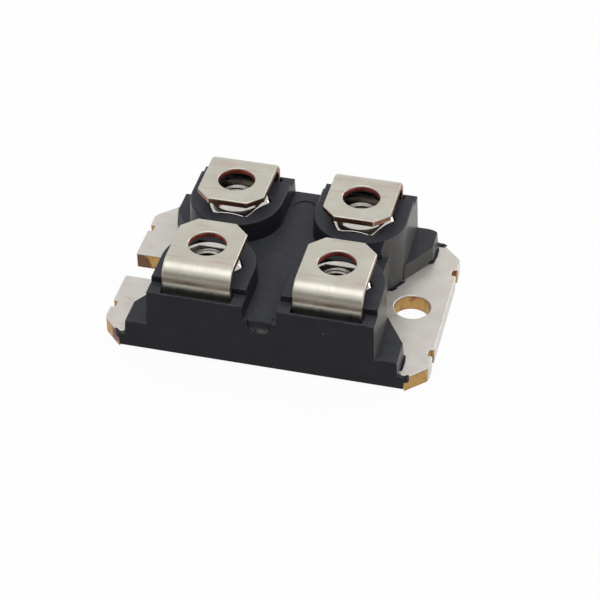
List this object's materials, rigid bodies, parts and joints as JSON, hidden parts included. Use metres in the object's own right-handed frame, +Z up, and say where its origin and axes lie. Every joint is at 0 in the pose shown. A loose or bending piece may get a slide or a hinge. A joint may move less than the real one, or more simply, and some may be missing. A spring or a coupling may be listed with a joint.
{
  "type": "bridge rectifier module",
  "caption": "Low power module: a dark moulded body with corner towers on a plated base plate, with bent strap terminals over captive nuts, for rectifying alternating current.",
  "frame": {"origin": "centre of the base plate's underside", "axes": "+Z up out of the base plate, +X along the length towards the end with the round mounting hole, +Y towards the long side of the second AC and minus terminals"},
  "size_m": [0.0382, 0.0252, 0.0121],
  "materials": {
    "plated_plate": "satin nickel plating over copper, bare metal on the punched edges",
    "moulding": "fine matt moulded epoxy, blue-black",
    "plated_terminal": "satin plated copper, coppery on the cut edges",
    "nut_steel": "bright plated steel",
    "copper_foil": "bare bonded copper",
    "ceramic": "white alumina ceramic",
    "silicon_chip": "metallised silicon"
  },
  "bodies": {
    "root": {"base_plate": "plated_plate", "moulded_body": "moulding", "substrate_lower_foil": "copper_foil", "substrate_ceramic": "ceramic", "terminal_plus": "plated_terminal", "nut_plus": "nut_steel", "pad_plus": "copper_foil", "terminal_ac_1": "plated_terminal", "nut_ac_1": "nut_steel", "pad_ac_1": "copper_foil", "terminal_ac_2": "plated_terminal", "nut_ac_2": "nut_steel", "pad_ac_2": "copper_foil", "terminal_minus": "plated_terminal", "nut_minus": "nut_steel", "pad_minus": "copper_foil", "chip_1": "silicon_chip", "jumper_1": "copper_foil", "chip_2": "silicon_chip", "jumper_2": "copper_foil", "chip_3": "silicon_chip", "jumper_3": "copper_foil", "chip_4": "silicon_chip", "jumper_4": "copper_foil"}
  },
  "joints": []
}
